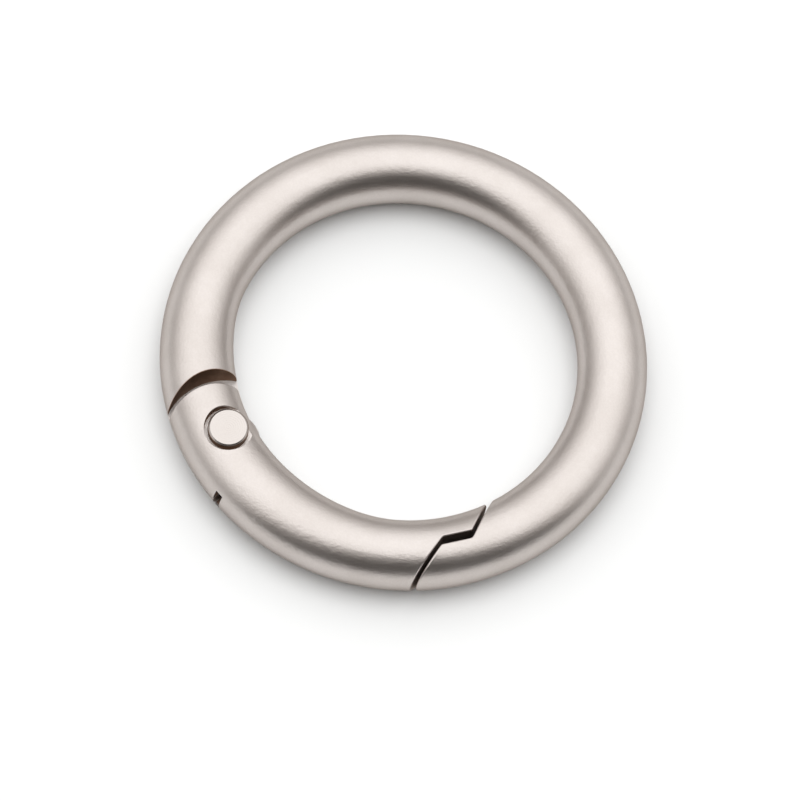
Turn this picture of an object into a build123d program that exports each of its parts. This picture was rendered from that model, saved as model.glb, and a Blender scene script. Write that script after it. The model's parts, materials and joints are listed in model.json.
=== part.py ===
"""Round carabiner: a C-shaped frame, an inward-opening sprung gate, its rivet and its torsion spring."""
from build123d import *
import os
from math import cos, pi, radians, sin, sqrt, tan

# Ring of round wire
INSIDE_DIAMETER = 25.0
WIRE_DIAMETER = 5.0
EDGE_ROUND = 0.12
SEAM_BEARING_DEG = -135.0

# Swelling of the wire toward the inside, about the hinge
SWELL = 0.42
SWELL_MIDDLE_DEG = 221.0
SWELL_HALF_DEG = 56.0
SWELL_SECTIONS = 13

# Hinge place: angle round the ring and how far the pin lies inside the wire's centre line
HINGE_ANGLE_DEG = 217.04
PIN_INSET = 0.775

# Half-lap at the hinge
SHOULDER_RADIUS = 4.6
LAP_CLEARANCE = 0.14
LAP_END_REACH = 2.55
LAP_END_TILT_DEG = 17.1
LAP_END_GAP = 0.15
KNUCKLE_RADIUS = 2.5
KNUCKLE_ROUND = 0.45
TAIL_RADIUS = 5.3
TAIL_SETBACK = 1.6
TAIL_INNER_TRIM = 0.2

# Rivet
SHANK_RADIUS = 0.8
RUNNING_CLEARANCE = 0.05
SEAT_CLEARANCE = 0.02
HEAD_RADIUS = 1.45
HEAD_TOP_LEVEL = 2.48
HEAD_THICKNESS = 0.68
HEAD_BEVEL = 0.14
HEAD_END_PLAY = 0.03
HEAD_SIDE_GAP = 0.29
TAIL_HEAD_RADIUS = 1.25
TAIL_HEAD_THICKNESS = 0.55
TAIL_HEAD_LEVEL = 1.5

# Torsion spring
SPRING_WIRE = 0.3
SPRING_MEAN_RADIUS = 1.06
SPRING_FULL_TURNS = 2
SPRING_LOW_LEVEL = 0.7
SPRING_HIGH_LEVEL = 0.42
SPRING_SIDE_GAP = 0.1
SPRING_END_GAP = 0.14
GATE_LEG_END_GAP = 0.77
GATE_LEG_BEARING_DEG = 68.0
FRAME_LEG_LENGTH = 2.6
LEG_SIDE_GAP = 0.14
NOTCH_TOP_LEVEL = 1.1
NOTCH_FLOOR_LEVEL = 0.7
NOTCH_WIDTH = 0.65
NOTCH_START = 1.7

# Nose: a stepped joint between the gate's inner lip and the frame's outer lip
NOSE_ANGLE_DEG = 294.0
LIP_HALF_LENGTH = 1.07
LIP_LEVEL = 0.4
LIP_GAP = 0.53
SCARF_GAP = 0.24
INNER_SCARF_DEG = 39.0
OUTER_SCARF_DEG = 49.5
GATE_TIP_ROUND = 0.2
GATE_ROOT_ROUND = 0.25
FRAME_TIP_ROUND = 0.3
FRAME_ROOT_ROUND = 0.45

wire_radius = WIRE_DIAMETER / 2
ring_radius = INSIDE_DIAMETER / 2 + wire_radius
outside_radius = ring_radius + wire_radius
overrun = WIRE_DIAMETER
half_lap = LAP_CLEARANCE / 2

# The ring lies flat on its lowest line, so its centre plane is one wire radius up
centre_plane = Plane.XY.offset(wire_radius)


def polar(radius, bearing):
    """Point at a radius and a bearing in degrees."""
    return radius * cos(radians(bearing)), radius * sin(radians(bearing))


def place(radius, bearing):
    """Plane on the centre plane at a place round the ring: x outward, y the way angles grow."""
    outward = polar(1, bearing)
    x, y = polar(radius, bearing)
    return Plane((x, y, wire_radius), x_dir=(*outward, 0), z_dir=(0, 0, 1))


hinge = place(ring_radius - PIN_INSET, HINGE_ANGLE_DEG)


def on_ring(plane, point):
    """A plane's flat point in the ring's own plan."""
    spot = plane.from_local_coords(Vector(*point))
    return spot.X, spot.Y


def prism(plan, low, high):
    """A plan drawn round the ring's axis, raised between two levels about the centre plane."""
    return extrude(centre_plane.offset(low) * plan, high - low)


def swollen_section(share):
    """Wire section at a share of the swelling's half length: an oval with its outer and top edges kept."""
    swell = SWELL * (1 - abs(share) ** 3) ** 2
    spot = place(ring_radius - swell / 2, SWELL_MIDDLE_DEG + share * SWELL_HALF_DEG)
    upright = Plane(spot.origin, x_dir=spot.x_dir, z_dir=-spot.y_dir)
    return upright * Ellipse(wire_radius + swell / 2, wire_radius, rotation=180)


def full_ring():
    """The whole ring: plain wire as one turned solid, and the swollen length joined to its ends."""
    plain_start = SWELL_MIDDLE_DEG + SWELL_HALF_DEG
    upright = place(ring_radius, plain_start) * Rot(90, 0, 0)
    section = upright * Rot(0, 0, SEAM_BEARING_DEG) * Circle(wire_radius)
    plain = revolve(section, Axis.Z, 360 - 2 * SWELL_HALF_DEG)
    steps = range(SWELL_SECTIONS)
    swollen = loft([swollen_section(2 * step / (SWELL_SECTIONS - 1) - 1) for step in steps])
    return plain + swollen


def nose_line(inner_corner, outer_corner, inner_round, outer_round):
    """The stepped nose cut in the nose's plane, with rounded corners and run-out ends."""
    inner_end = -wire_radius - overrun
    outer_end = wire_radius + overrun
    inner_run = (inner_corner[0] - inner_end) * tan(radians(INNER_SCARF_DEG))
    outer_run = (outer_end - outer_corner[0]) * tan(radians(OUTER_SCARF_DEG))
    return FilletPolyline(
        (inner_end, inner_corner[1] + inner_run),
        inner_corner,
        outer_corner,
        (outer_end, outer_corner[1] - outer_run),
        radius=(inner_round, outer_round),
    )


frame_lip = LIP_GAP - LIP_LEVEL
inner_shift = SCARF_GAP / cos(radians(INNER_SCARF_DEG)) - LIP_GAP * tan(radians(INNER_SCARF_DEG))
outer_shift = SCARF_GAP / cos(radians(OUTER_SCARF_DEG)) - LIP_GAP * tan(radians(OUTER_SCARF_DEG))
gate_nose = nose_line(
    (-LIP_LEVEL, LIP_HALF_LENGTH), (-LIP_LEVEL, -LIP_HALF_LENGTH), GATE_TIP_ROUND, GATE_ROOT_ROUND
)
frame_nose = nose_line(
    (frame_lip, LIP_HALF_LENGTH + inner_shift),
    (frame_lip, -LIP_HALF_LENGTH + outer_shift),
    FRAME_ROOT_ROUND,
    FRAME_TIP_ROUND,
)


def sector(cut, inner_start, outer_start):
    """Plan from a start line at the hinge round to a nose cut."""
    line = Plane(
        origin=polar(ring_radius, NOSE_ANGLE_DEG), x_dir=polar(1, NOSE_ANGLE_DEG), z_dir=(0, 0, 1)
    ) * cut
    middle = (HINGE_ANGLE_DEG + NOSE_ANGLE_DEG) / 2
    far = polar(outside_radius + 2 * overrun, middle)
    inner_end = line @ 0
    outer_end = line @ 1
    back = Polyline(
        (outer_end.X, outer_end.Y), far, outer_start, inner_start, (0, 0), (inner_end.X, inner_end.Y)
    )
    return make_face(line.edges() + back.edges())


# Hinge plan: circles about the pin and lines set by their distance from it
pin_spot = on_ring(hinge, (0, 0))
tail_drop = ring_radius - sqrt(ring_radius**2 - TAIL_SETBACK**2)
tail_spot = on_ring(hinge, (PIN_INSET - tail_drop, TAIL_SETBACK))
pin_start = (polar(ring_radius / 2, HINGE_ANGLE_DEG), polar(outside_radius + overrun, HINGE_ANGLE_DEG))
end_turn = radians(LAP_END_TILT_DEG)
end_normal = Vector(-sin(end_turn), cos(end_turn))
end_along = Vector(cos(end_turn), sin(end_turn))


def end_point(reach, along):
    """Point in plan at a distance from the pin across the lap's end and along it."""
    spot = end_normal * reach + end_along * along
    return on_ring(hinge, (spot.X, spot.Y))


reach_in = wire_radius + overrun
step_reach = LAP_END_REACH + LAP_END_GAP
end_bearing = HINGE_ANGLE_DEG + LAP_END_TILT_DEG


def lap_plan(reach):
    """Plan of the lap: straight across its outer half and round about the pin on its inner half."""
    outer_half = Rectangle(reach_in, reach + reach_in, align=(Align.MIN, Align.MAX))
    shoulder_side = Rectangle(2 * reach_in, reach_in, align=(Align.CENTER, Align.MAX))
    plan = Pos(0, reach) * outer_half + shoulder_side + Circle(reach)
    return Pos(*pin_spot) * Rot(0, 0, end_bearing) * plan


shoulder_disc = Pos(*pin_spot) * Circle(SHOULDER_RADIUS)
tail_disc = Pos(*tail_spot) * Circle(TAIL_RADIUS)

deep = 2 * wire_radius


def post(radius, low, high):
    """Upright cylinder on the pin's line between two levels about the centre plane."""
    return prism(Pos(*pin_spot) * Circle(radius), low, high)


def slab(low, high):
    """Flat slab wider than the ring between two levels about the centre plane."""
    return prism(Circle(outside_radius + overrun), low, high)


def groove(start, bearing, length, width, low, high):
    """Straight groove from a point of the hinge's plane along a bearing in it."""
    spot = on_ring(hinge, start)
    plan = Rectangle(length, width, align=(Align.MIN, Align.CENTER))
    return prism(Pos(*spot) * Rot(0, 0, HINGE_ANGLE_DEG + bearing) * plan, low, high)


def cut_edges(solid):
    """Edges where an upright or level cut meets the wire's round surface."""
    walls = solid.faces().filter_by(GeomType.PLANE) + solid.faces().filter_by(GeomType.CYLINDER)
    return walls.edges().filter_by(GeomType.BSPLINE)


# Spring levels about the centre plane, and the coil's angles in the hinge's plane
spring_rise = SPRING_HIGH_LEVEL + SPRING_LOW_LEVEL
gate_leg_start_deg = GATE_LEG_BEARING_DEG - 90
spring_turns = SPRING_FULL_TURNS + 1 + gate_leg_start_deg / 360
spring_pitch = spring_rise / spring_turns
lead = spring_pitch / (2 * pi * SPRING_MEAN_RADIUS)
coil_outside = SPRING_MEAN_RADIUS + SPRING_WIRE / 2
recess_radius = coil_outside + SPRING_SIDE_GAP
recess_floor = -SPRING_LOW_LEVEL - SPRING_WIRE / 2 - SPRING_END_GAP
recess_roof = SPRING_HIGH_LEVEL + SPRING_WIRE / 2 + SPRING_END_GAP
leg_width = SPRING_WIRE + 2 * LEG_SIDE_GAP
leg_start = polar(SPRING_MEAN_RADIUS, gate_leg_start_deg)
leg_way = polar(1, GATE_LEG_BEARING_DEG)
leg_to_step = (step_reach - end_normal.dot(Vector(*leg_start))) / end_normal.dot(Vector(*leg_way))
gate_leg_length = leg_to_step - GATE_LEG_END_GAP
gate_leg_top = recess_roof + gate_leg_length * lead
frame_leg_floor = recess_floor - FRAME_LEG_LENGTH * lead

# Rivet levels about the centre plane
head_seat = HEAD_TOP_LEVEL - HEAD_THICKNESS
ledge = head_seat - HEAD_END_PLAY
bore_radius = SHANK_RADIUS + RUNNING_CLEARANCE
counterbore_radius = HEAD_RADIUS + HEAD_SIDE_GAP

# Frame
frame_sector = sector(frame_nose, *pin_start)
frame_upper_opening = frame_sector + shoulder_disc
frame_lower_opening = frame_sector - lap_plan(LAP_END_REACH)
frame = full_ring() - prism(frame_upper_opening, -half_lap, deep)
frame = frame - prism(frame_lower_opening, -deep, deep)
frame = fillet(cut_edges(frame).filter_by_position(Axis.X, 0, outside_radius), EDGE_ROUND)
ball = hinge * Sphere(KNUCKLE_RADIUS)
knuckle = ball & slab(-deep, -half_lap)
knuckle = fillet(knuckle.edges().filter_by(GeomType.CIRCLE).sort_by(Axis.Z)[-1:], KNUCKLE_ROUND)
frame = frame + knuckle
frame = frame - post(recess_radius, recess_floor, deep)
frame = frame - post(SHANK_RADIUS + SEAT_CLEARANCE, -deep, deep)
frame = frame - post(TAIL_HEAD_RADIUS + SEAT_CLEARANCE, -deep, -TAIL_HEAD_LEVEL)
frame_leg_run = FRAME_LEG_LENGTH + LEG_SIDE_GAP
frame = frame - groove((SPRING_MEAN_RADIUS, 0), -90, frame_leg_run, leg_width, frame_leg_floor, 0)

# Gate
gate_plan = sector(gate_nose, *pin_start) + tail_disc
gate = full_ring() & prism(gate_plan, -deep, deep)
gate = fillet(cut_edges(gate), EDGE_ROUND)
shoulder_side = Rectangle(2 * reach_in, reach_in, align=(Align.CENTER, Align.MAX))
tail_inside = Circle(ring_radius - wire_radius - SWELL + TAIL_INNER_TRIM)
tail_trim = tail_inside & Pos(*pin_spot) * Rot(0, 0, HINGE_ANGLE_DEG) * shoulder_side
gate = gate - prism(tail_trim, -deep, deep)
gate = gate - prism(lap_plan(step_reach), -deep, half_lap)
notch_box = Rectangle(reach_in, NOTCH_WIDTH, align=(Align.MIN, Align.MIN))
notch_plan = Pos(*end_point(LAP_END_REACH, NOTCH_START)) * Rot(0, 0, end_bearing) * notch_box
gate = gate - prism(notch_plan, -NOTCH_FLOOR_LEVEL, NOTCH_TOP_LEVEL)
gate = gate - post(recess_radius, -deep, recess_roof)
gate = gate - post(bore_radius, -deep, deep)
gate = gate - post(counterbore_radius, ledge, deep)
gate_leg_run = gate_leg_length + LEG_SIDE_GAP
gate = gate - groove(leg_start, GATE_LEG_BEARING_DEG, gate_leg_run, leg_width, 0, gate_leg_top)

# Rivet: head, shank and formed tail head in one piece
rivet_profile = Polyline(
    (0, HEAD_TOP_LEVEL),
    (HEAD_RADIUS - HEAD_BEVEL, HEAD_TOP_LEVEL),
    (HEAD_RADIUS, HEAD_TOP_LEVEL - HEAD_BEVEL),
    (HEAD_RADIUS, head_seat),
    (SHANK_RADIUS, head_seat),
    (SHANK_RADIUS, -TAIL_HEAD_LEVEL),
    (TAIL_HEAD_RADIUS, -TAIL_HEAD_LEVEL),
    (TAIL_HEAD_RADIUS, HEAD_BEVEL - TAIL_HEAD_LEVEL - TAIL_HEAD_THICKNESS),
    (TAIL_HEAD_RADIUS - HEAD_BEVEL, -TAIL_HEAD_LEVEL - TAIL_HEAD_THICKNESS),
    (0, -TAIL_HEAD_LEVEL - TAIL_HEAD_THICKNESS),
    close=True,
)
rivet = hinge * revolve(Plane.XZ * make_face(rivet_profile), Axis.Z)

# Spring: frame leg, coil and gate leg as one wire
coil_line = Helix(spring_pitch, spring_rise, SPRING_MEAN_RADIUS)
frame_leg = Line(coil_line @ 0 - coil_line % 0 * FRAME_LEG_LENGTH, coil_line @ 0)
gate_leg = Line(coil_line @ 1, coil_line @ 1 + coil_line % 1 * gate_leg_length)
spring_line = Wire([frame_leg, coil_line, gate_leg])
wire_end = Plane(frame_leg @ 0, z_dir=frame_leg % 0) * Circle(SPRING_WIRE / 2)
spring = hinge.offset(-SPRING_LOW_LEVEL) * sweep(wire_end, spring_line, is_frenet=True)

os.makedirs("parts", exist_ok=True)
export_step(frame, "parts/frame.step")
export_step(gate, "parts/gate.step")
export_step(rivet, "parts/hinge_rivet.step")
export_step(spring, "parts/gate_spring.step")
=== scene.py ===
"""Round carabiner: satin nickel castings, a plated rivet and a steel spring on a white sheet."""
import json
import math

import bpy
import numpy as np
from mathutils import Matrix, Vector


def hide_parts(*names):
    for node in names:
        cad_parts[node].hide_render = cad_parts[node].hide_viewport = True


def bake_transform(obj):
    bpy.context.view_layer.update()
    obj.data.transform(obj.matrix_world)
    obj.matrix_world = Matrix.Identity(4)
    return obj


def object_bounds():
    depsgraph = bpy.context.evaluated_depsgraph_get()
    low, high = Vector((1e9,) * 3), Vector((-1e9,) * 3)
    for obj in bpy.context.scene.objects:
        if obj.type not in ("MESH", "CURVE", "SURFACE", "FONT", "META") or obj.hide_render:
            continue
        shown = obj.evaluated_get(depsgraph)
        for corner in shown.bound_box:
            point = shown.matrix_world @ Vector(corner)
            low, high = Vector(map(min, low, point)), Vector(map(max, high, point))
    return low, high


bl_info = {
    "name": "Round Carabiner Dresser",
    "version": (1, 0, 0),
    "blender": (4, 5, 0),
    "location": "View3D > Sidebar > Carabiner",
    "description": "Finishes and studio stage for a sprung round carabiner",
    "category": "Material",
}

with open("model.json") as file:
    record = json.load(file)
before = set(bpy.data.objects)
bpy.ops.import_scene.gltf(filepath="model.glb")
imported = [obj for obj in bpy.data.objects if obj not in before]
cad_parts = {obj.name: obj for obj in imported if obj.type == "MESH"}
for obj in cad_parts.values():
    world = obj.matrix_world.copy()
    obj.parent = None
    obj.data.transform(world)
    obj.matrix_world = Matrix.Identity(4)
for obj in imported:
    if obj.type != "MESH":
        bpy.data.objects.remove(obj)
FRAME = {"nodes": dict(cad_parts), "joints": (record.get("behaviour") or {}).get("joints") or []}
CAD_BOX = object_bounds()
HINGE = FRAME["joints"][0]["pos_m"]
WIRE_RADIUS = HINGE[2]
RING_RADIUS = CAD_BOX[1][0] - WIRE_RADIUS
MM = 0.001

# Colour of every metal at a glancing angle
EDGE_TINT = (0.5, 0.465, 0.44, 1.0)

# Castings: distances from the pin, depths under the wire's skin and levels about its centre plane
NOSE_REACH = (6 * MM, 7 * MM)
SEAT_REACH = (1.68 * MM, 1.73 * MM)
SHOULDER_REACH = 4.6 * MM
SHOULDER_BAND = (0.03 * MM, 0.06 * MM)
CUT_DEPTH = (0.09 * MM, 0.16 * MM)
LAP_LEVEL = (-0.03 * MM, 0.03 * MM)
LAP_FLOOR_LEVEL = -0.07 * MM
LAP_FLOOR_BAND = (0.01 * MM, 0.02 * MM)

# Castings: sizes and shares of the plating's grain and patches, of the painted shade in the joints'
# recesses and of the painted highlight inside the hinge
COARSE_GRAINS = 3.1
PATCH_SIZE = 4 * MM
PATCH_RANGE = (0.3, 0.7)
STAIN_AND_SHADE_RANGE = (0.35, 0.65)
SPECK_RANGE = (0.3, 0.75)
PIT_SHARE = 0.5
PATCH_SHARE = 0.7
NOSE_SHADE_SHARE = 0.45
SEAT_HIGHLIGHT_SHARE = 0.5
SPECK_ROUGHNESS = 0.05
PATCH_ROUGHNESS = 0.04
RECESS_ROUGHNESS = 0.2
HIGHLIGHT_ROUGHNESS = 0.3

# Rivet: turning rings on its head and painted shade on the wall round it
TURNING_PITCH = 0.16 * MM
TURNING_WANDER = 2.5
WANDER_SIZE = 0.5 * MM
TURNING_SHARE = 0.25
RIVET_PATCH_SIZE = 1.2 * MM
RIVET_GRAIN_SHARE = 0.5
HEAD_RIM = (1.38 * MM, 1.44 * MM)

# Spring: drawing lines, stains and the mesh's counts
DRAWN_STRETCH = (0.2, 0.2, 2.0)
DRAWN_LINE_SIZE = 0.05 * MM
DRAWN_LINE_DEPTH = 0.002 * MM
DRAWN_ROUGHNESS = 0.28
DRAWN_LINE_ROUGHNESS = 0.15
OIL_SIZE = 0.7 * MM
OIL_SHADE = 0.6
COIL_RINGS = 121
WIRE_SIDES = 16

# Stage: the sheet and lamp in metres, the camera's sensor in mm, and the room's ranges as cosines
SHEET_HALF_WIDTH = 1.5
LAMP_SIZE = 0.5
LAMP_HEIGHT = 0.6
SENSOR_WIDTH = 36.0
NEAR_LIMIT = 0.01
SKY_RANGE = (0.0, 0.96)
DIM_RANGE = (0.30, 0.62)


class Signal:
    """A socket of a node tree: arithmetic on it adds Math nodes, and node() adds any other node."""

    def __init__(self, tree, socket=None):
        self.tree = tree
        self.socket = socket

    def node(self, kind, settings=None, sockets=None, output=0):
        """Adds a node of a kind with its settings, then its socket values or links; gives one output."""
        made = self.tree.nodes.new(kind)
        for name, value in (settings or {}).items():
            setattr(made, name, value)
        for name, value in (sockets or {}).items():
            if isinstance(value, Signal):
                self.tree.links.new(value.socket, made.inputs[name])
            else:
                made.inputs[name].default_value = value
        return Signal(self.tree, made.outputs[output] if made.outputs else None)

    def maths(self, operation, *terms):
        """One Math node on values or signals."""
        return self.node("ShaderNodeMath", {"operation": operation}, dict(enumerate(terms)))

    def __add__(self, other):
        return self.maths("ADD", self, other)

    def __radd__(self, other):
        return self.maths("ADD", other, self)

    def __sub__(self, other):
        return self.maths("SUBTRACT", self, other)

    def __rsub__(self, other):
        return self.maths("SUBTRACT", other, self)

    def __mul__(self, other):
        return self.maths("MULTIPLY", self, other)

    def __rmul__(self, other):
        return self.maths("MULTIPLY", other, self)

    def smooth(self, low, high):
        """0 below low, 1 above high, and a smooth rise between."""
        return self.node(
            "ShaderNodeMapRange",
            {"interpolation_type": "SMOOTHSTEP"},
            {"Value": self, "From Min": low, "From Max": high},
        )


def fresh_tree(owner):
    """An empty node tree on a material or world."""
    owner.use_nodes = True
    owner.node_tree.nodes.clear()
    return Signal(owner.node_tree)


def mixed(tree, factor, first, second):
    """Colour mix of two colours or colour signals."""
    return tree.node(
        "ShaderNodeMix",
        {"data_type": "RGBA"},
        {0: factor, 6: first, 7: second},
        output=2,
    )


def noise(tree, place, size, detail=2.0, roughness=0.5):
    """Noise whose lumps are about a size across, in metres."""
    return tree.node(
        "ShaderNodeTexNoise",
        {},
        {"Vector": place, "Scale": 1 / size, "Detail": detail, "Roughness": roughness},
    )


def vector_maths(tree, operation, *terms, output=0):
    """One Vector Math node; output 1 is its number."""
    return tree.node("ShaderNodeVectorMath", {"operation": operation}, dict(enumerate(terms)), output)


def axis_distance(tree, place, axis_at):
    """Distance from an upright axis through a point."""
    from_axis = vector_maths(tree, "SUBTRACT", place, axis_at)
    flat = vector_maths(tree, "MULTIPLY", from_axis, (1, 1, 0))
    return vector_maths(tree, "LENGTH", flat, output=1)


def level(tree, place):
    """Height above the wire's centre plane."""
    return vector_maths(tree, "DOT_PRODUCT", place, (0, 0, 1), output=1) - WIRE_RADIUS


def skin_depth(tree, place):
    """Depth under the wire's round skin: the wire's radius less the distance from its centre circle."""
    sideways = axis_distance(tree, place, (0, 0, 0)) - RING_RADIUS
    upward = level(tree, place)
    return WIRE_RADIUS - tree.maths("SQRT", sideways * sideways + upward * upward)


def band(signal, middle, full, none):
    """1 within a full distance of a middle value and 0 beyond another."""
    return 1 - signal.maths("ABSOLUTE", signal - middle).smooth(full, none)


def metal(name, build):
    """A metal material whose colour, roughness and bump come from build."""
    material = bpy.data.materials.new(name)
    tree = fresh_tree(material)
    place = tree.node("ShaderNodeTexCoord", output=3)
    colour, roughness, height, depth = build(tree, place)
    normal = tree.node("ShaderNodeBump", {}, {"Strength": 1.0, "Distance": depth, "Height": height})
    shader = tree.node(
        "ShaderNodeBsdfPrincipled",
        {},
        {
            "Base Color": colour,
            "Roughness": roughness,
            "Metallic": 1.0,
            "Specular Tint": EDGE_TINT,
            "Normal": normal,
        },
    )
    tree.node("ShaderNodeOutputMaterial", {}, {"Surface": shader})
    return material


def dress(node_name, material):
    """Gives a CAD node one material."""
    slots = FRAME["nodes"][node_name].data.materials
    slots.clear()
    slots.append(material)


class CarabinerFinish(bpy.types.PropertyGroup):
    """Colours and grain of the metal finishes, among them the painted shade in the joints and the painted
    highlight inside the hinge.
    """

    nickel: bpy.props.FloatVectorProperty(
        name="Nickel",
        description="Colour of the satin nickel plating",
        subtype="COLOR",
        size=4,
        default=(0.60, 0.555, 0.53, 1.0),
    )
    nickel_shade: bpy.props.FloatVectorProperty(
        name="Nickel shade",
        description="Colour of the plating's darker patches",
        subtype="COLOR",
        size=4,
        default=(0.54, 0.495, 0.468, 1.0),
    )
    nickel_roughness: bpy.props.FloatProperty(
        name="Nickel roughness",
        description="Roughness of the blasted plating",
        default=0.3,
        min=0.0,
        max=1.0,
        subtype="FACTOR",
    )
    grain: bpy.props.FloatProperty(
        name="Grain",
        description="Width of one pit of the blasted surface",
        default=0.00013,
        unit="LENGTH",
    )
    grain_depth: bpy.props.FloatProperty(
        name="Grain depth",
        description="Depth of the blasted surface's pits",
        default=0.000025,
        unit="LENGTH",
    )
    # Painted shade: a dark colour painted on the walls inside the joints and on the rivet head's side,
    # where shade falls
    painted_recess_shade: bpy.props.FloatVectorProperty(
        name="Recess",
        description="Colour of the thinly plated walls inside the joints",
        subtype="COLOR",
        size=4,
        default=(0.22, 0.14, 0.1, 1.0),
    )
    # Painted shade: the lighter patches within the painted shade inside the joints
    painted_recess_shade_patch: bpy.props.FloatVectorProperty(
        name="Worn recess",
        description="Colour of the lighter patches inside the joints",
        subtype="COLOR",
        size=4,
        default=(0.4, 0.28, 0.21, 1.0),
    )
    # Painted highlight: a paler colour painted on the lap floor inside the hinge and on the seat round
    # the rivet's head
    painted_highlight: bpy.props.FloatVectorProperty(
        name="Bare metal",
        description="Colour of the rubbed faces inside the hinge",
        subtype="COLOR",
        size=4,
        default=(0.82, 0.785, 0.76, 1.0),
    )
    rivet: bpy.props.FloatVectorProperty(
        name="Rivet",
        description="Colour of the plated rivet",
        subtype="COLOR",
        size=4,
        default=(0.57, 0.53, 0.505, 1.0),
    )
    spring: bpy.props.FloatVectorProperty(
        name="Spring",
        description="Colour of the spring wire",
        subtype="COLOR",
        size=4,
        default=(0.42, 0.40, 0.38, 1.0),
    )


class CarabinerSpring(bpy.types.PropertyGroup):
    """Sizes of the torsion spring."""

    wire: bpy.props.FloatProperty(
        name="Wire",
        description="Diameter of the spring's wire",
        default=0.0003,
        unit="LENGTH",
    )
    coil_radius: bpy.props.FloatProperty(
        name="Coil radius",
        description="Pin's axis to the middle of the wire",
        default=0.00106,
        unit="LENGTH",
    )
    turns: bpy.props.FloatProperty(
        name="Turns",
        description="Turns of the coil between the legs",
        default=2.938889,
    )
    low_level: bpy.props.FloatProperty(
        name="Low level",
        description="Start of the coil below the ring's centre plane",
        default=0.0007,
        unit="LENGTH",
    )
    high_level: bpy.props.FloatProperty(
        name="High level",
        description="End of the coil above the ring's centre plane",
        default=0.00042,
        unit="LENGTH",
    )
    frame_leg: bpy.props.FloatProperty(
        name="Frame leg",
        description="Length of the straight leg in the frame",
        default=0.0026,
        unit="LENGTH",
    )
    gate_leg: bpy.props.FloatProperty(
        name="Gate leg",
        description="Length of the straight leg in the gate",
        default=0.003571,
        unit="LENGTH",
    )


class CarabinerStudio(bpy.types.PropertyGroup):
    """Camera and light of the stage."""

    elevation: bpy.props.FloatProperty(
        name="Elevation",
        description="Camera's angle above the floor",
        default=math.radians(67.4),
        subtype="ANGLE",
    )
    roll: bpy.props.FloatProperty(
        name="Roll",
        description="Camera's turn about its line of sight",
        default=math.radians(-10.4),
        subtype="ANGLE",
    )
    distance: bpy.props.FloatProperty(
        name="Distance",
        description="Camera to the middle of the ring",
        default=0.45,
        unit="LENGTH",
    )
    lens: bpy.props.FloatProperty(
        name="Lens",
        description="Focal length on a 36 mm sensor",
        default=282.6,
        unit="CAMERA",
    )
    slide_right: bpy.props.FloatProperty(
        name="Slide right",
        description="Camera's slide to its right",
        default=-0.00028,
        unit="LENGTH",
    )
    slide_up: bpy.props.FloatProperty(
        name="Slide up",
        description="Camera's slide upward in the picture",
        default=-0.002874,
        unit="LENGTH",
    )
    overhead: bpy.props.FloatProperty(
        name="Overhead",
        description="Power of the overhead lamp on the sheet",
        default=1.5,
        unit="POWER",
    )
    sky: bpy.props.FloatProperty(
        name="Sky",
        description="Brightness of the room overhead",
        default=1.68,
    )
    walls: bpy.props.FloatProperty(
        name="Walls",
        description="Brightness of the room at the level of the table",
        default=0.5,
    )
    camera_side: bpy.props.FloatProperty(
        name="Camera side",
        description="Brightness of the dim side toward the camera",
        default=0.06,
    )
    dim_bearing: bpy.props.FloatProperty(
        name="Dim bearing",
        description="Bearing of the dim side, from the right toward the back",
        default=math.radians(-76),
        subtype="ANGLE",
    )
    sky_tint: bpy.props.FloatVectorProperty(
        name="Sky tint",
        description="Colour of the light from overhead",
        subtype="COLOR",
        size=4,
        default=(0.995, 1.0, 1.0, 1.0),
    )
    dim_tint: bpy.props.FloatVectorProperty(
        name="Dim tint",
        description="Colour of the light from the dim side",
        subtype="COLOR",
        size=4,
        default=(1.09, 1.0, 0.93, 1.0),
    )
    wall_tint: bpy.props.FloatVectorProperty(
        name="Wall tint",
        description="Colour of the light from the sides",
        subtype="COLOR",
        size=4,
        default=(1.03, 1.0, 0.975, 1.0),
    )
    floor: bpy.props.FloatVectorProperty(
        name="Floor",
        description="Colour of the white sheet",
        subtype="COLOR",
        size=4,
        default=(0.726, 0.73, 0.73, 1.0),
    )


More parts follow.
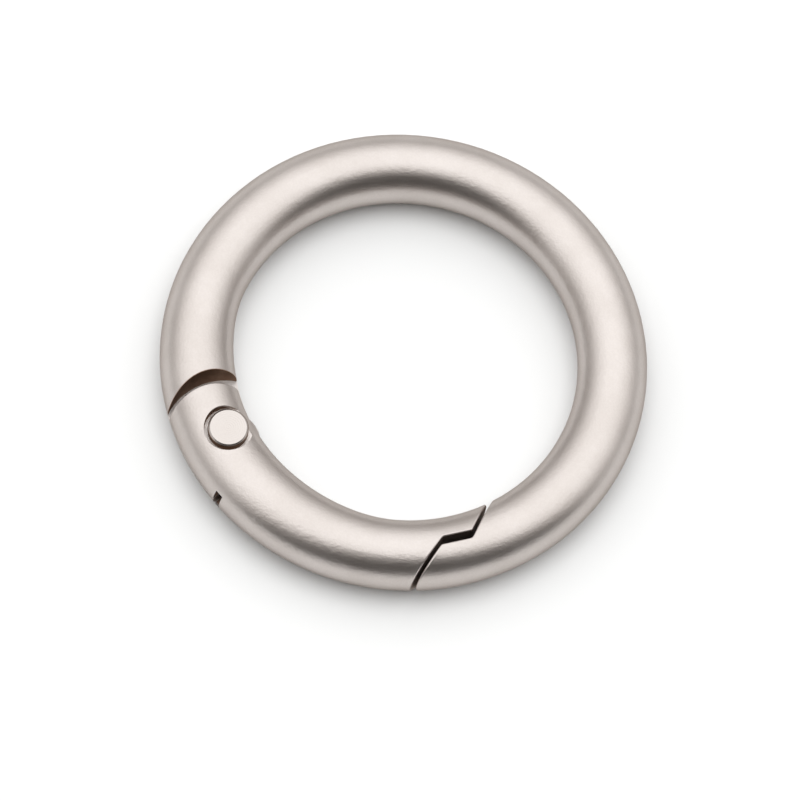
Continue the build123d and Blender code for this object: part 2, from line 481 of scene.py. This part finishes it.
class CARABINER_OT_castings(bpy.types.Operator):
    """Satin nickel for the frame and the gate"""

    bl_idname = "carabiner.castings"
    bl_label = "Dress castings"

    def execute(self, context):
        """Fine pits from two noises, soft patches of tone, and a roughness that follows both, with
        painted shade in the joints and a painted highlight on faces inside the hinge.
        """
        finish = context.scene.carabiner_finish

        def nickel(tree, place, shade_mask, painted_highlight):
            """Plating darkened by painted shade where the first mask is 1 and lightened by a painted
            highlight where the second mask is 1.
            """
            pits = noise(tree, place, finish.grain, 1.0, 0.6)
            coarse = noise(tree, place, COARSE_GRAINS * finish.grain, 2.0, 0.55)
            patches = noise(tree, place, PATCH_SIZE, 3.0, 0.6)
            height = PIT_SHARE * pits + (1 - PIT_SHARE) * coarse
            speck = pits.smooth(*SPECK_RANGE)
            shade = PATCH_SHARE * patches.smooth(*PATCH_RANGE) + (1 - PATCH_SHARE) * speck
            plated = mixed(tree, shade, tuple(finish.nickel_shade), tuple(finish.nickel))
            # Painted highlight: a paler colour mixed in on the lap floor and the rivet's seat
            highlighted = mixed(tree, painted_highlight, plated, tuple(finish.painted_highlight))
            # Painted shade: two dark colours in random patches, mixed in where the shade mask is 1
            shade_patchiness = patches.smooth(*STAIN_AND_SHADE_RANGE)
            stain_and_painted_shade = mixed(tree, shade_patchiness, tuple(finish.painted_recess_shade), tuple(finish.painted_recess_shade_patch))
            colour = mixed(tree, shade_mask, highlighted, stain_and_painted_shade)
            satin = finish.nickel_roughness + SPECK_ROUGHNESS * (1 - speck) + PATCH_ROUGHNESS * patches
            roughness = satin + RECESS_ROUGHNESS * shade_mask + HIGHLIGHT_ROUGHNESS * painted_highlight
            return colour, roughness, height, finish.grain_depth

        def frame_nickel(tree, place):
            """Painted shade on the shoulder's wall and the nose's cut, and a painted highlight on the lap
            floor.
            """
            inside = skin_depth(tree, place).smooth(*CUT_DEPTH)
            reach = axis_distance(tree, place, HINGE)
            at_nose = reach.smooth(*NOSE_REACH)
            height = level(tree, place)
            # Painted shade on the shoulder's wall above the lap, and weaker in the nose's cut; painted
            # highlight on the lap floor away from the nose
            wall = band(reach, SHOULDER_REACH, *SHOULDER_BAND) * height.smooth(*LAP_LEVEL)
            lap_floor = band(height, LAP_FLOOR_LEVEL, *LAP_FLOOR_BAND) * (1 - at_nose)
            nose_shade = NOSE_SHADE_SHARE * inside * at_nose
            return nickel(tree, place, tree.maths("MAXIMUM", wall, nose_shade), lap_floor)

        def gate_nickel(tree, place):
            """Painted shade on the cuts' walls, and a painted highlight on the seat round the rivet's
            head.
            """
            inside = skin_depth(tree, place).smooth(*CUT_DEPTH)
            reach = axis_distance(tree, place, HINGE)
            seat = 1 - reach.smooth(*SEAT_REACH)
            # Painted shade on the cuts' walls outside the seat, full by the hinge and weaker toward the
            # nose; painted highlight on the seat inside the cut
            stain_and_painted_shade = 1 - (1 - NOSE_SHADE_SHARE) * reach.smooth(*NOSE_REACH)
            return nickel(tree, place, inside * (1 - seat) * stain_and_painted_shade, SEAT_HIGHLIGHT_SHARE * inside * seat)

        dress("frame", metal("satin_nickel_frame", frame_nickel))
        dress("gate", metal("satin_nickel_gate", gate_nickel))
        return {"FINISHED"}


class CARABINER_OT_rivet(bpy.types.Operator):
    """Plated steel for the hinge rivet"""

    bl_idname = "carabiner.rivet"
    bl_label = "Dress rivet"

    def execute(self, context):
        """Turning rings, whose height is a sine of the distance from the pin's axis, with fine pits, and
        painted shade on the head's side past its edge.
        """
        finish = context.scene.carabiner_finish

        def plated(tree, place):
            reach = axis_distance(tree, place, HINGE)
            wander = noise(tree, place, WANDER_SIZE, 1.0)
            rings = tree.maths("SINE", reach * (2 * math.pi / TURNING_PITCH) + TURNING_WANDER * wander)
            pits = noise(tree, place, finish.grain, 1.0, 0.6)
            height = TURNING_SHARE * rings + pits
            shade = noise(tree, place, RIVET_PATCH_SIZE, 2.0)
            plated_top = mixed(tree, shade, tuple(finish.nickel_shade), tuple(finish.rivet))
            # Painted shade: a dark colour painted on the rivet past the head's edge
            painted_side_shade = reach.smooth(*HEAD_RIM)
            colour = mixed(tree, painted_side_shade, plated_top, tuple(finish.painted_recess_shade))
            roughness = finish.nickel_roughness + SPECK_ROUGHNESS * shade
            return colour, roughness, height, RIVET_GRAIN_SHARE * finish.grain_depth

        dress("hinge_rivet", metal("plated_rivet", plated))
        return {"FINISHED"}


def spring_skin(spring):
    """Rings of points on the wire: a helix about the pin, carried on along its tangent at both ends.

    Each ring is a circle on the line's outward and upward directions.
    """
    climb = (spring.low_level + spring.high_level) / (2 * math.pi * spring.turns)
    stretch = math.hypot(spring.coil_radius, climb)
    coil_length = 2 * math.pi * spring.turns * stretch
    coil = np.linspace(0, coil_length, COIL_RINGS)
    along = np.concatenate(([-spring.frame_leg], coil, [coil_length + spring.gate_leg]))
    turn = np.clip(along, 0, coil_length) / stretch
    bearing = math.atan2(HINGE[1], HINGE[0]) + turn
    flat = np.zeros_like(bearing)
    outward = np.stack([np.cos(bearing), np.sin(bearing), flat], axis=-1)
    sideways = np.stack([-np.sin(bearing), np.cos(bearing), flat], axis=-1)
    rising = np.array([0, 0, 1])
    forward = (spring.coil_radius * sideways + climb * rising) / stretch
    upward = np.cross(outward, forward)
    height = climb * turn - spring.low_level
    line = HINGE + spring.coil_radius * outward + height[:, None] * rising
    line += (along - turn * stretch)[:, None] * forward
    angle = np.linspace(0, 2 * math.pi, WIRE_SIDES, endpoint=False)[None, :, None]
    circle = np.cos(angle) * outward[:, None] + np.sin(angle) * upward[:, None]
    return line[:, None] + spring.wire / 2 * circle


def tube_mesh(name, rings):
    """Closed mesh of rings of points: smooth quads between neighbours and a flat face on each end."""
    count, sides = rings.shape[:2]
    index = np.arange(count * sides).reshape(count, sides)
    beside = np.roll(index, -1, axis=1)
    quads = np.stack([index[:-1], index[1:], beside[1:], beside[:-1]], axis=-1).reshape(-1, 4)
    ends = [index[0].tolist(), index[-1, ::-1].tolist()]
    mesh = bpy.data.meshes.new(name)
    mesh.from_pydata(rings.reshape(-1, 3).tolist(), [], quads.tolist() + ends)
    mesh.polygons.foreach_set("use_smooth", [True] * len(quads) + [False] * len(ends))
    mesh.update()
    return mesh


class CARABINER_OT_spring(bpy.types.Operator):
    """Drawn steel torsion spring with a leg in the frame and a leg in the gate"""

    bl_idname = "carabiner.spring"
    bl_label = "Wind spring"

    def execute(self, context):
        """Drawing lines from a noise stretched flat in the coil's plane, and oil-dark patches.

        The coil's low end carries the leg into the frame and its high end the leg into the gate.
        """
        finish = context.scene.carabiner_finish
        spring = context.scene.carabiner_spring

        def drawn(tree, place):
            stretched = tree.node("ShaderNodeMapping", {}, {"Vector": place, "Scale": DRAWN_STRETCH})
            lines = noise(tree, stretched, DRAWN_LINE_SIZE, 2.0)
            stain_and_painted_shade = noise(tree, place, OIL_SIZE, 3.0)
            dark = tuple(OIL_SHADE * c for c in finish.spring[:3]) + (1.0,)
            colour = mixed(tree, stain_and_painted_shade.smooth(*STAIN_AND_SHADE_RANGE), dark, tuple(finish.spring))
            roughness = DRAWN_ROUGHNESS + DRAWN_LINE_ROUGHNESS * lines
            return colour, roughness, lines, DRAWN_LINE_DEPTH

        mesh = tube_mesh("wound_spring", spring_skin(spring))
        mesh.materials.append(metal("spring_wire", drawn))
        coil = bpy.data.objects.new("wound_spring", mesh)
        context.scene.collection.objects.link(coil)
        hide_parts("gate_spring")
        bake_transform(coil)
        return {"FINISHED"}


class CARABINER_OT_stage(bpy.types.Operator):
    """White sheet, room light, overhead lamp and camera"""

    bl_idname = "carabiner.stage"
    bl_label = "Set stage"

    def execute(self, context):
        """Floor at the ring's lowest line, and a camera turned and slid to the picture's frame."""
        studio = context.scene.carabiner_studio
        context.scene.view_settings.view_transform = "Standard"
        self.add_floor(context.scene, studio)
        self.add_room(context.scene, studio)
        self.add_overhead(context.scene, studio)
        self.add_camera(context.scene, studio)
        return {"FINISHED"}

    def add_floor(self, scene, studio):
        """Flat white sheet under the ring."""
        reach = SHEET_HALF_WIDTH
        mesh = bpy.data.meshes.new("floor")
        corners = [(-reach, -reach, 0), (reach, -reach, 0), (reach, reach, 0), (-reach, reach, 0)]
        mesh.from_pydata(corners, [], [(0, 1, 2, 3)])
        floor = bpy.data.objects.new("floor", mesh)
        scene.collection.objects.link(floor)
        material = bpy.data.materials.new("white_sheet")
        tree = fresh_tree(material)
        sheet = tree.node("ShaderNodeBsdfDiffuse", {}, {"Color": tuple(studio.floor)})
        tree.node("ShaderNodeOutputMaterial", {}, {"Surface": sheet})
        mesh.materials.append(material)

    def add_room(self, scene, studio):
        """Room light by direction: brighter from the sides to overhead, and dim on the camera's side.

        The dim side is a cone about a level line toward the camera, found by the dot product with it.
        """
        world = bpy.data.worlds.new("studio_room")
        scene.world = world
        tree = fresh_tree(world)
        direction = tree.node("ShaderNodeTexCoord", output=0)
        height = vector_maths(tree, "DOT_PRODUCT", direction, (0, 0, 1), output=1)
        bearing = studio.dim_bearing
        dim_line = (math.cos(bearing), math.sin(bearing), 0)
        facing = vector_maths(tree, "DOT_PRODUCT", direction, dim_line, output=1)
        overhead = height.smooth(*SKY_RANGE)
        dim = facing.smooth(*DIM_RANGE)
        open_room = studio.walls + (studio.sky - studio.walls) * overhead
        strength = open_room + dim * (studio.camera_side - open_room)
        open_tint = mixed(tree, overhead, tuple(studio.wall_tint), tuple(studio.sky_tint))
        colour = mixed(tree, dim, open_tint, tuple(studio.dim_tint))
        light = tree.node("ShaderNodeBackground", {}, {"Color": colour, "Strength": strength})
        tree.node("ShaderNodeOutputWorld", {}, {"Surface": light})

    def add_overhead(self, scene, studio):
        """Large soft lamp above the ring for the sheet alone: the metal shows the room instead."""
        data = bpy.data.lights.new("overhead", "AREA")
        data.shape = "DISK"
        data.size = LAMP_SIZE
        data.energy = studio.overhead
        lamp = bpy.data.objects.new("overhead", data)
        lamp.location = (0, 0, LAMP_HEIGHT)
        lamp.visible_glossy = False
        scene.collection.objects.link(lamp)

    def add_camera(self, scene, studio):
        """Camera frame from its elevation and roll: columns are its right, its up and its back."""
        right = Vector((1, 0, 0))
        up = Vector((0, math.sin(studio.elevation), math.cos(studio.elevation)))
        back = Vector((0, -math.cos(studio.elevation), math.sin(studio.elevation)))
        cam_right = math.cos(studio.roll) * right - math.sin(studio.roll) * up
        cam_up = math.sin(studio.roll) * right + math.cos(studio.roll) * up
        middle = Vector((0, 0, WIRE_RADIUS))
        spot = middle + studio.distance * back + studio.slide_right * cam_right + studio.slide_up * cam_up
        data = bpy.data.cameras.new("camera")
        data.lens = studio.lens
        data.sensor_width = SENSOR_WIDTH
        data.clip_start = NEAR_LIMIT
        camera = bpy.data.objects.new("camera", data)
        turn = Matrix((cam_right, cam_up, back)).transposed()
        camera.matrix_world = Matrix.Translation(spot) @ turn.to_4x4()
        scene.collection.objects.link(camera)
        scene.camera = camera


class CARABINER_PT_panel(bpy.types.Panel):
    """Lists the carabiner's finishes and steps"""

    bl_idname = "CARABINER_PT_panel"
    bl_label = "Carabiner"
    bl_space_type = "VIEW_3D"
    bl_region_type = "UI"
    bl_category = "Carabiner"

    def draw(self, context):
        """One button per step, then the settings."""
        for step in STEPS:
            self.layout.operator(step.bl_idname)
        scene = context.scene
        for group in (scene.carabiner_finish, scene.carabiner_spring, scene.carabiner_studio):
            for name in group.__annotations__:
                self.layout.prop(group, name)


STEPS = (CARABINER_OT_castings, CARABINER_OT_rivet, CARABINER_OT_spring, CARABINER_OT_stage)
CLASSES = (CarabinerFinish, CarabinerSpring, CarabinerStudio, *STEPS, CARABINER_PT_panel)


def register():
    """Adds the classes and the scene's settings."""
    for cls in CLASSES:
        bpy.utils.register_class(cls)
    bpy.types.Scene.carabiner_finish = bpy.props.PointerProperty(type=CarabinerFinish)
    bpy.types.Scene.carabiner_spring = bpy.props.PointerProperty(type=CarabinerSpring)
    bpy.types.Scene.carabiner_studio = bpy.props.PointerProperty(type=CarabinerStudio)


def unregister():
    """Takes the settings and the classes away again."""
    del bpy.types.Scene.carabiner_studio
    del bpy.types.Scene.carabiner_spring
    del bpy.types.Scene.carabiner_finish
    for cls in reversed(CLASSES):
        bpy.utils.unregister_class(cls)


def main():
    """Dresses every piece and sets the stage."""
    register()
    bpy.ops.carabiner.castings()
    bpy.ops.carabiner.rivet()
    bpy.ops.carabiner.spring()
    bpy.ops.carabiner.stage()


if __name__ == "__main__":
    main()
